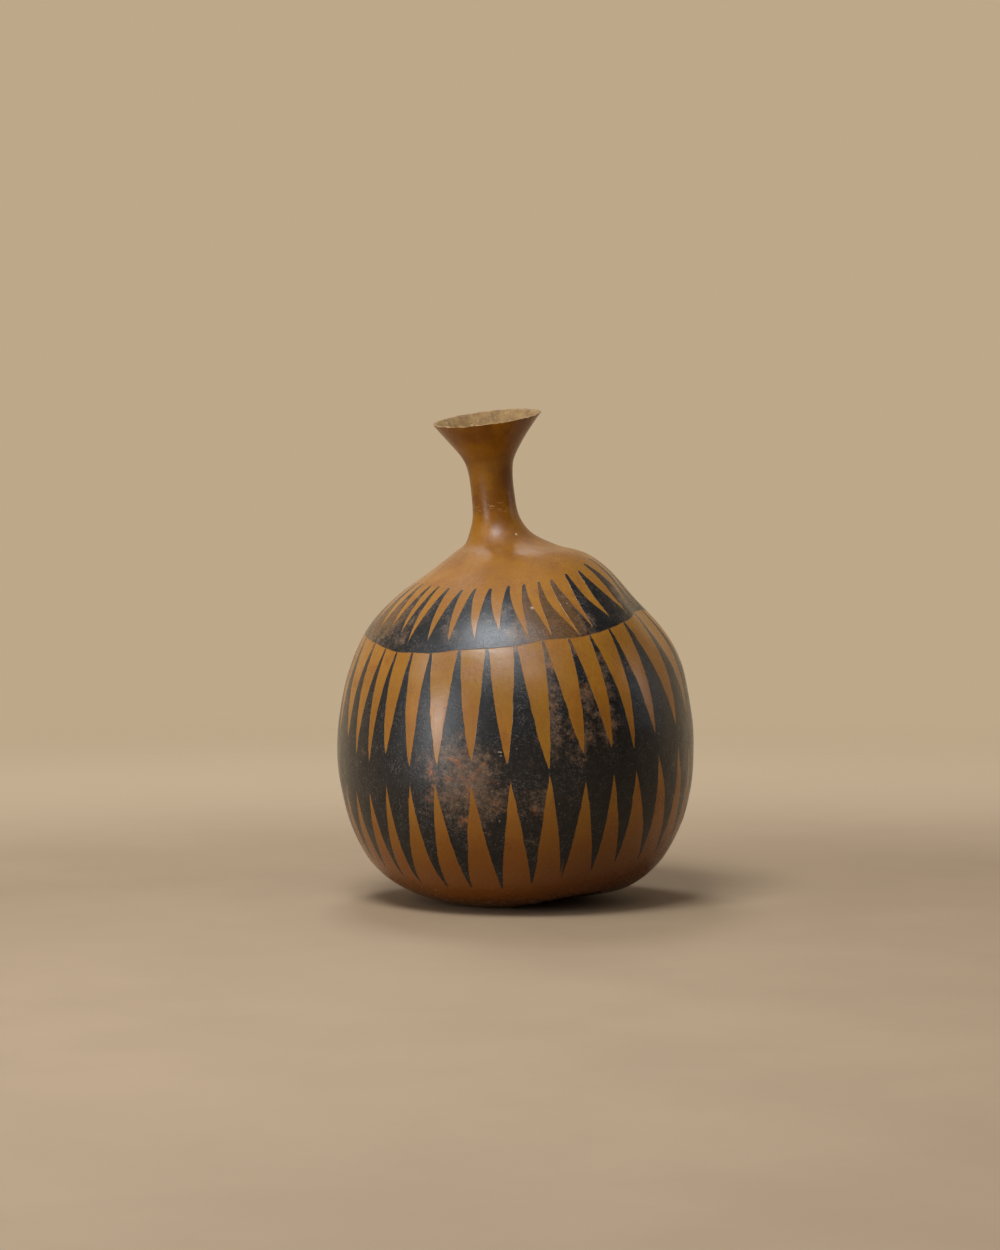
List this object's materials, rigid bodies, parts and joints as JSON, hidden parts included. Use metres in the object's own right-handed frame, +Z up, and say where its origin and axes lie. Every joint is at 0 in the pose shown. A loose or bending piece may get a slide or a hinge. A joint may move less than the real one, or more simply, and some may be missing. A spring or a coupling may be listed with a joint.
{
  "type": "dried bottle gourd",
  "caption": "Dried bottle gourd used as a flask: hollow round belly on a small flat, slim leaning neck and a flared open mouth.",
  "frame": {"origin": "under the middle of the belly, on the surface the gourd stands on", "axes": "+Z up from the base to the mouth, +X to the right and +Y to the back as the picture shows it; the neck leans to -X and -Y"},
  "size_m": [0.268, 0.2674, 0.3683],
  "materials": {
    "gourd_skin": "oiled, half gloss, with dark brown-black painted spikes"
  },
  "bodies": {
    "root": {"gourd": "gourd_skin"}
  },
  "joints": []
}
